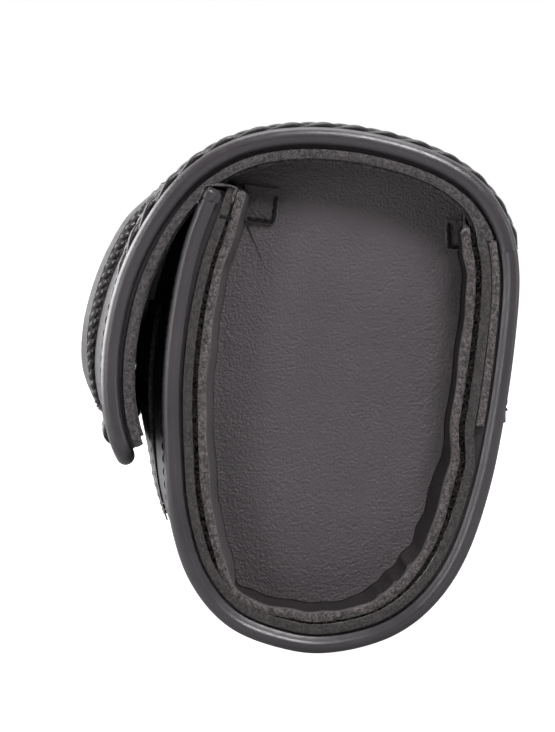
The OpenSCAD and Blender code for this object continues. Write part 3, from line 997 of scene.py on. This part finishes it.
def flap_sheet(name, below, thickness, edge, half, replaced):
    u, x = flap_grid(edge, half)
    depth = wrap_depth(u, x)
    extra = (strip_share(u) - strip_share(u, 1.5)) * STRIP_ROOM * tuck_share(u, x)
    depth = depth + undulation(point(u, x, 0), 6, 0.4)
    start = depth + (below + extra if below else 0)
    outer = pressed(point(u, x, start), below)
    inner = pressed(point(u, x, depth + below + extra + thickness), below + thickness)
    return fold(layered(name, layer(outer, inner, seed=12), None, replaced,
                        [SHELL, SUEDE, DYED_EDGE]))


flap_sheet("flap_leather", 0, LEATHER, 4.0, EDGE_X, ["flap_shell"])
flap_sheet("flap_suede", LEATHER + SKIN_GAP, LINING, 6.2, EDGE_X - 4, ["flap_lining"])


def flap_way(inset, step, radius):
    """The way along the flap's free edges, as u, x and the direction away from its middle."""
    x0 = END_X - inset
    lengths = np.arange(FLAP_REACH, inset + radius, -step)
    turn = np.linspace(0, math.pi / 2, max(6, int(radius * math.pi / 2 / step)) + 1)[1:-1]
    front = np.linspace(x0 - radius, 0, int((x0 - radius) / step) + 1)
    s = np.concatenate([lengths, inset + radius * (1 - np.sin(turn)), np.full(len(front), inset)])
    x = np.concatenate([np.full(len(lengths), x0), x0 - radius + radius * np.cos(turn), front])
    side_x = np.concatenate([np.ones(len(lengths)), np.cos(turn), np.zeros(len(front))])
    side_s = np.concatenate([np.zeros(len(lengths)), np.sin(turn), np.ones(len(front))])
    u = u_at(TIP_LENGTH - s)
    away = side_s[:, None] * forward_from(u) + side_x[:, None] * np.array([1.0, 0, 0])
    mirror = np.array([-1.0, 1, 1])
    return (np.concatenate([u, u[-2::-1]]), np.concatenate([x, -x[-2::-1]]),
            np.concatenate([away, away[-2::-1] * mirror]))


FLAP_TUBE_R = 2.35
FLAP_WELT_INSET = 3.4
way_u, way_x, way_out = flap_way(FLAP_TUBE_R, 0.9, CORNER_R - FLAP_TUBE_R)
fold(piping_tube("flap_piping_cover", way_u, way_x, way_out, FLAP_TUBE_R, ["flap_piping"], None,
                 cap=False, bead=False))
welt_u, welt_x, welt_out = flap_way(FLAP_WELT_INSET, 0.9, CORNER_R - FLAP_WELT_INSET)
welt_top = np.full_like(welt_u, 2 * FLAP_TUBE_R - 1.1)
fold(welt("flap_piping_welt", welt_u, welt_x, welt_out, None, welt_top,
          wrap_depth(welt_u, welt_x) + 0.2, 5.0))


BRAID_INSET = 8.3
FLAP_STITCH_INSET = 13.4
BRAID_PERIOD = 24.0  # a strand crosses to the other side and back in this length


def flap_braid():
    """Three flat strands plaited along the flap's free edges."""
    u, x, away = flap_way(BRAID_INSET, 0.5, 9.0)
    base = point(u, x, wrap_depth(u, x))
    both, s = resample(np.concatenate([base, up_from(u), away], axis=1), 0.55)
    base, up, away = both[:, :3], both[:, 3:6], both[:, 6:]
    parts = []
    for k in range(3):
        phase = 2 * math.pi * (s / BRAID_PERIOD + k / 3)
        sideways = 1.9 * np.sin(phase)
        rise = 1.95 + 0.55 * np.sin(2 * phase)
        path = base + away * sideways[:, None] + up * rise[:, None]
        side, above = frames(path, up)
        slope = np.cos(2 * phase) * 0.25
        above = above + side * slope[:, None]
        a = np.linspace(0, 2 * math.pi, 20, endpoint=False)
        ridge = 1 + 0.07 * np.cos(5 * a)
        profile = np.stack([2.1 * np.cos(a) * ridge, 0.85 * np.sin(a) * ridge], -1)
        parts.append(sweep(path, side, above, profile))
    fold(make("flap_braid_strands", merge(parts), None, [LACE], ["flap_braid"], sharp=60))


flap_braid()


def flap_stitch_rows():
    """The row beside the braid, seen on both sides of the flap."""
    u, x, _ = flap_way(FLAP_STITCH_INSET, 0.8, 9.0)
    up = up_from(u)
    outside = pressed(point(u, x, wrap_depth(u, x) - 0.05), 0)
    inside = point(u, x, wrap_depth(u, x) + LEATHER + LINING + 0.1)
    rows = [stitches(outside, up, *EDGE_STITCH), stitches(inside, -up, *EDGE_STITCH)]
    fold(make("flap_stitches", merge(rows), None, [THREAD]))


flap_stitch_rows()


# ---------------------------------------------------------------- straps
STRAP_T = 2.5  # thickness of the flap's straps
SOCKET_U = 26.95  # where the snap's cap lies under the flap's strap


def plaited(a, b, cell=4.6):
    """Height of a flat diagonal plait at a and b, from 0 in its hollows to 1 on its strands."""
    p = (a + b) / cell
    q = (a - b) / cell
    fp, fq = p - np.floor(p), q - np.floor(q)
    over = (np.floor(p) + np.floor(q)) % 2 == 0
    crown = np.where(over, np.sin(math.pi * fp) * (0.72 + 0.28 * np.sin(math.pi * fq)),
                     np.sin(math.pi * fq) * (0.72 + 0.28 * np.sin(math.pi * fp)))
    return np.clip(crown, 0, 1) ** 0.6


def strap_grid(u0, u1, x0, width, step, round_end=10.0):
    """Stations over a strap whose lower end is rounded."""
    s0, s1 = float(length_at(u0)), float(length_at(u1))
    s = np.concatenate([np.arange(s0, s1 - 9, step), np.linspace(s1 - 9, s1, int(9 / step) + 8)])
    v = np.linspace(-1, 1, int(width / step) + 1)
    left = np.maximum(round_end - (s1 - s), 0) / round_end
    w = width / 2 * np.sqrt(np.maximum(1 - left**2.2, 0.05))
    s, v = np.meshgrid(s, v, indexing="ij")
    return s, u_at(s), x0 + v * w[:, None], v * w[:, None]


def strap_crown(a):
    """1 along a strap's middle and 0 at its sides, a being the distance from the middle."""
    return 1 - (np.abs(a) / (STRAP_W / 2)) ** 2.5


def flap_strap_thin(s):
    """The strap's thickness at the length s, thinning towards its rounded lower end."""
    return 1 - 0.72 * smooth((s - length_at(25.9)) / (length_at(27.7) - length_at(25.9)))


def flap_strap(sign, tag):
    """A plaited strap sewn to the flap, edged with a whipped lace."""
    x0 = sign * STRAP_X
    s, u, x, a = strap_grid(23.5, 27.8, x0, STRAP_W - 2.5, 0.5)
    lift = plaited(a, s - s.min())
    end = (0.35 + 0.65 * smooth((s - s.min()) / 14)) * flap_strap_thin(s)
    crown = 0.7 * strap_crown(a)
    over_cap = 0.9 * np.exp(-((s - length_at(SOCKET_U)) ** 2 + a**2) / 8.5**2)
    height = (STRAP_T - 0.2 + 0.2 * lift + crown) * end + over_cap
    top = point(u, x, wrap_depth(u, x) - 0.12 - height)
    bottom = point(u, x, wrap_depth(u, x) - 0.05)
    points, faces, kinds = layer(top, bottom, 3, 0.15, 0.03, 20)
    name = "flap_strap_plait_" + tag
    make(name, (points, faces), "flap", [LACE, SUEDE, EDGE],
         ["flap_strap_" + tag], kinds, 60)
    edge = [np.stack([s[:, 0], x[:, 0]], -1), np.stack([s[-1], x[-1]], -1),
            np.stack([s[::-1, -1], x[::-1, -1]], -1)]
    edge = np.concatenate([edge[0], edge[1][1:-1], edge[2]])
    fine, along = resample(edge, 0.3)
    u = u_at(fine[:, 0])
    up = up_from(u)
    turn = 2 * math.pi * along / 2.7
    tangent = unit(np.gradient(fine, axis=0))
    away = -tangent[:, 1:] * forward_from(u) + tangent[:, :1] * np.array([1.0, 0, 0])
    middle = point(u, fine[:, 1], wrap_depth(u, fine[:, 1]) - 1.3 * flap_strap_thin(fine[:, 0]))
    sunk = 0.9 * smooth(1 - np.minimum(along, along[-1] - along) / 14)
    middle -= up * sunk[:, None]
    path = middle + away * (0.3 * np.cos(turn))[:, None] + up * (0.3 * np.sin(turn))[:, None]
    side, above = frames(path, up * 0.2 + away)
    a = circle(1.0, 8) * np.array([0.85, 0.6])
    make("flap_strap_lacing_" + tag, sweep(path, side, above, a), "flap", [TRIM], sharp=60)


def body_strap_rise(u, a):
    """How far the body's strap stands up, thinning towards its lower end."""
    return (1.1 + 1.3 * strap_crown(a)) * (1 - 0.85 * smooth((u - 3.5) / 1.2))


def body_strap(sign, tag):
    """The plain strap on the body's front that carries the snap's stud."""
    x0 = sign * STRAP_X
    _, u, x, a = strap_grid(2.1, 5.4, x0, STRAP_W, 0.9)
    top = point(u, x, wrap_depth(u, x) - 0.12 - body_strap_rise(u, a))
    bottom = point(u, x, wrap_depth(u, x) - 0.05)
    points, faces, kinds = layer(top, bottom, 4, 0.2, 0.06, 22)
    make("body_strap_leather_" + tag, (points, faces), "pouch", [TRIM, SUEDE, EDGE],
         ["body_strap_" + tag], kinds)
    _, u, x, a = strap_grid(2.2, 5.3, x0, STRAP_W - 6, 0.9)
    up = up_from(u)
    rail = point(u, x, wrap_depth(u, x) + 0.3 - body_strap_rise(u, a))
    path = np.concatenate([rail[:, 0], rail[-1, 1:-1], rail[::-1, -1]])
    ups = np.concatenate([up[:, 0], up[-1, 1:-1], up[::-1, -1]])
    make("body_strap_stitches_" + tag, stitches(path, ups, *STRAP_STITCH), "pouch",
         [THREAD])


for end_sign, end_tag in ENDS:
    flap_strap(end_sign, end_tag)
    body_strap(end_sign, end_tag)

for metal in ("snap_stud", "snap_post", "snap_socket", "snap_cap"):
    for end_tag in ("right", "left"):
        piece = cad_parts[metal + "_" + end_tag]
        piece.data.materials.clear()
        piece.data.materials.append(NICKEL)


# ---------------------------------------------------------------- binding and corner tabs
def top_binding():
    """A thin strip folded over the body's front lip, drawn round the piping at each end."""
    x = across(END_X + 0.25, 0.5, 3.0)
    reach = 6.2  # how far down it comes on either side
    fold_r = 1.0
    cover = smooth((np.abs(x) - (END_X - 5.2)) / 1.6)
    turns = np.linspace(0, math.pi, 13)[1:-1]
    rows = []
    out_depth = wrap_depth(0 * x, x) * (1 - cover) - 0.35 - 0.15 * cover
    in_depth = wrap_depth(0 * x, x) + LEATHER + (LINING + 0.35) * (1 - cover) + 0.3 * cover
    up_at_lip, forward_at_lip = up_from(0.0), forward_from(0.0)
    mid, half = (out_depth + in_depth) / 2, (in_depth - out_depth) / 2

    def below_lip(down, depth):
        u = u_at(down + 0 * x)
        return point(u, x, depth)

    for k in range(9):
        rows.append(below_lip((reach - 1.6 * cover) * (1 - k / 8), out_depth))
    for a in turns:
        rows.append(point(0 * x, x, mid - half * math.cos(a))
                    - fold_r * math.sin(a) * forward_at_lip)
    for k in range(9):
        rows.append(below_lip((reach - 3.4 * cover) * k / 8, in_depth))
    outer = np.stack(rows)
    crumple = noise(outer, 2.6, 15) * 0.16 + noise(outer, 1.2, 16) * 0.06
    centre = outer.mean(axis=0, keepdims=True)
    away = outer - centre
    away /= np.maximum(np.linalg.norm(away, axis=-1, keepdims=True), 1e-6)
    outer = outer + away * crumple[..., None]
    inner = outer - 0.55 * away
    inner[:1, :, 2] = outer[:1, :, 2]
    inner[-1:, :, 2] = outer[-1:, :, 2]
    points, faces, kinds = layer(outer, inner, 3, 0.05, 0.04, 17)
    make("lip_binding", (points, faces), "pouch", [TRIM, SUEDE, EDGE],
         ["top_binding"], kinds)
    rows = []
    xs = np.linspace(-END_X + 7, END_X - 7, 400)
    rest = wrap_depth(0 * xs, xs)
    for depth, flip in ((rest - 0.5, 1), (rest + LEATHER + LINING + 0.5, -1)):
        path = point(u_at(4.4 + 0 * xs), xs, depth)
        rows.append(stitches(path, np.tile(flip * up_at_lip, (len(xs), 1)), *LIP_STITCH))
    make("lip_stitches", merge(rows), "pouch", [THREAD])


top_binding()


def corner_tab(sign, tag, corners, stitch_lines):
    """A small leather tab sewn on the end panel in a top corner, with thick stitches."""
    quad = np.array(corners, float)
    a, b = np.meshgrid(np.linspace(0, 1, 16), np.linspace(0, 1, 16), indexing="ij")
    yz = ((1 - a) * (1 - b))[..., None] * quad[0] + (a * (1 - b))[..., None] * quad[1] \
        + (a * b)[..., None] * quad[2] + ((1 - a) * b)[..., None] * quad[3]
    lift = 0.5 + 0.3 * np.sin(math.pi * a) * np.sin(math.pi * b) + 0.15 * noise(
        np.concatenate([a[..., None] * 9, yz], -1), 3, 18)
    outer = np.concatenate([(RECESS_X + 0.3 + lift)[..., None], yz], -1)
    inner = outer - np.array([1.1, 0, 0])
    points, faces, kinds = layer(outer, inner, 3, 0.12, 0.06, 19)
    mirror = np.array([sign, 1, 1])
    if sign > 0:
        faces = [f[::-1] for f in faces]
    make("corner_tab_" + tag, (points * mirror, faces), "pouch",
         [PANEL, SUEDE, EDGE], ["corner_patch_" + tag], kinds)
    rows = []
    for line, radius in stitch_lines:
        ends = np.array(line, float)
        t = np.linspace(0, 1, 40)[:, None]
        path = (ends[0] * (1 - t) + ends[1] * t) * mirror
        up = np.tile(mirror * [1.0, 0, 0], (40, 1))
        rows.append(stitches(path, up, 2.0, 1.85, radius, 0.4, 0.3))
    make("corner_tab_stitches_" + tag, merge(rows), "pouch", [THREAD])


TAB_X = RECESS_X + 1.2
FRONT_TAB = ((-11.0, 108.2), (-3.6, 107.4), (-2.6, 116.4), (-11.5, 117.6))
BACK_TAB = ((39.6, 101.2), (44.4, 100.8), (43.6, 108.2), (39.2, 108.8))
# the rows' ends, and how thick the thread is
FRONT_ROWS = ((((TAB_X, -10.5, 108.9), (TAB_X, -3.8, 108.1)), 0.48),
              (((TAB_X, -4.2, 108.3), (TAB_X, -3.4, 115.8)), 0.48),
              (((EDGE_X, -17.6, 109.6), (EDGE_X - 1.5, -12.0, 108.8)), 0.4))
BACK_ROWS = ((((TAB_X, 40.2, 101.6), (TAB_X, 39.9, 108.2)), 0.4),
             (((TAB_X, 40.0, 101.8), (TAB_X, 44.0, 101.5)), 0.4),
             (((EDGE_X - 0.6, 48.2, 103.2), (EDGE_X, 51.6, 103.6)), 0.3))
for end_sign, end_tag in ENDS:
    corner_tab(end_sign, "front_" + end_tag, FRONT_TAB, FRONT_ROWS)
    corner_tab(end_sign, "back_" + end_tag, BACK_TAB, BACK_ROWS)


BODY_STITCH_INSET = 11.5


def body_stitch_rows():
    """The rows that hold the end flanges, seen on the outside of the wrap."""
    rows = []
    u = even(0.5, 12.6, 0.8)
    for sx in (-1, 1):
        x = np.full_like(u, sx * (EDGE_X - BODY_STITCH_INSET))
        path = point(u, x, wrap_depth(u, x) - 0.05)
        rows.append(stitches(path, up_from(u), *EDGE_STITCH))
    make("body_stitches", merge(rows), "pouch", [THREAD])


body_stitch_rows()


# ---------------------------------------------------------------- floor, lights and camera
def stage_floor():
    mesh = bpy.data.meshes.new("floor")
    z = float(cad_low[2])
    half = 4.0
    mesh.from_pydata([(-half, -half, z), (half, -half, z), (half, half, z), (-half, half, z)], [],
                     [(0, 1, 2, 3)])
    floor = bpy.data.objects.new("floor", mesh)
    bpy.context.scene.collection.objects.link(floor)
    n = Nodes("floor_white")
    mottled = n.noise(400, 2)
    seen = n.map(n.add("ShaderNodeLightPath").outputs["Is Camera Ray"], 0, 1, 0.06, 1)
    base = n.shades(mottled, [(0.3, (0.3, 0.3, 0.3)), (0.7, (0.32, 0.32, 0.32))])
    mesh.materials.append(n.finish(Base_Color=base, Roughness=0.8, Emission_Color=(1, 1, 1, 1),
                                   Emission_Strength=seen))


def area_light(name, place, target, size, power, colour=(1, 1, 1)):
    data = bpy.data.lights.new(name, "AREA")
    data.shape = "RECTANGLE"
    data.size, data.size_y = size
    data.energy = power
    data.color = colour
    lamp = bpy.data.objects.new(name, data)
    lamp.location = place
    lamp.rotation_euler = (Vector(target) - Vector(place)).to_track_quat("-Z", "Y").to_euler()
    bpy.context.scene.collection.objects.link(lamp)


def studio():
    """A bright sweep behind the pouch, darker towards the camera's side, and soft lamps."""
    world = bpy.data.worlds.new("studio")
    world.use_nodes = True
    tree = world.node_tree
    background = tree.nodes["Background"]
    background.inputs["Color"].default_value = (1, 1, 1, 1)
    direction = tree.nodes.new("ShaderNodeTexCoord")
    split = tree.nodes.new("ShaderNodeSeparateXYZ")
    fade = tree.nodes.new("ShaderNodeMapRange")
    path = tree.nodes.new("ShaderNodeLightPath")
    most = tree.nodes.new("ShaderNodeMath")
    most.operation = "MAXIMUM"
    fade.inputs["From Min"].default_value = -0.6
    fade.inputs["From Max"].default_value = 0.1
    fade.inputs["To Min"].default_value = 0.95
    fade.inputs["To Max"].default_value = 0.07
    tree.links.new(direction.outputs["Generated"], split.inputs[0])
    tree.links.new(split.outputs["X"], fade.inputs["Value"])
    tree.links.new(fade.outputs["Result"], most.inputs[0])
    tree.links.new(path.outputs["Is Camera Ray"], most.inputs[1])
    tree.links.new(most.outputs[0], background.inputs["Strength"])
    bpy.context.scene.world = world
    area_light("key", (0.8, 0.3, 0.9), (0.14, 0, 0.05), (0.4, 0.35), 13)
    area_light("left", (-0.15, -0.85, 0.25), (0.1, 0, 0.07), (0.8, 0.8), 19)
    area_light("left_front", (0.75, -0.75, 0.2), (0.14, 0, 0.07), (0.25, 0.7), 4)
    area_light("right", (0.28, 0.9, 0.15), (0.14, 0, 0.07), (0.25, 0.8), 2.5)
    area_light("top", (-0.1, 0.0, 1.0), (0, 0, 0), (0.8, 0.5), 6)
    bpy.context.scene.view_settings.view_transform = "Standard"


CAMERA_AT = (0.80, 0.001, 0.115)  # in metres
CAMERA_AIM = (0.150, -0.0031, 0.0724)


def camera():
    data = bpy.data.cameras.new("camera")
    data.lens = 128.6
    data.sensor_width = 36
    data.clip_start = 0.01
    shot = bpy.data.objects.new("camera", data)
    shot.location = CAMERA_AT
    shot.rotation_euler = (Vector(CAMERA_AIM) - shot.location).to_track_quat("-Z", "Y").to_euler()
    bpy.context.scene.collection.objects.link(shot)
    bpy.context.scene.camera = shot


stage_floor()
studio()
camera()
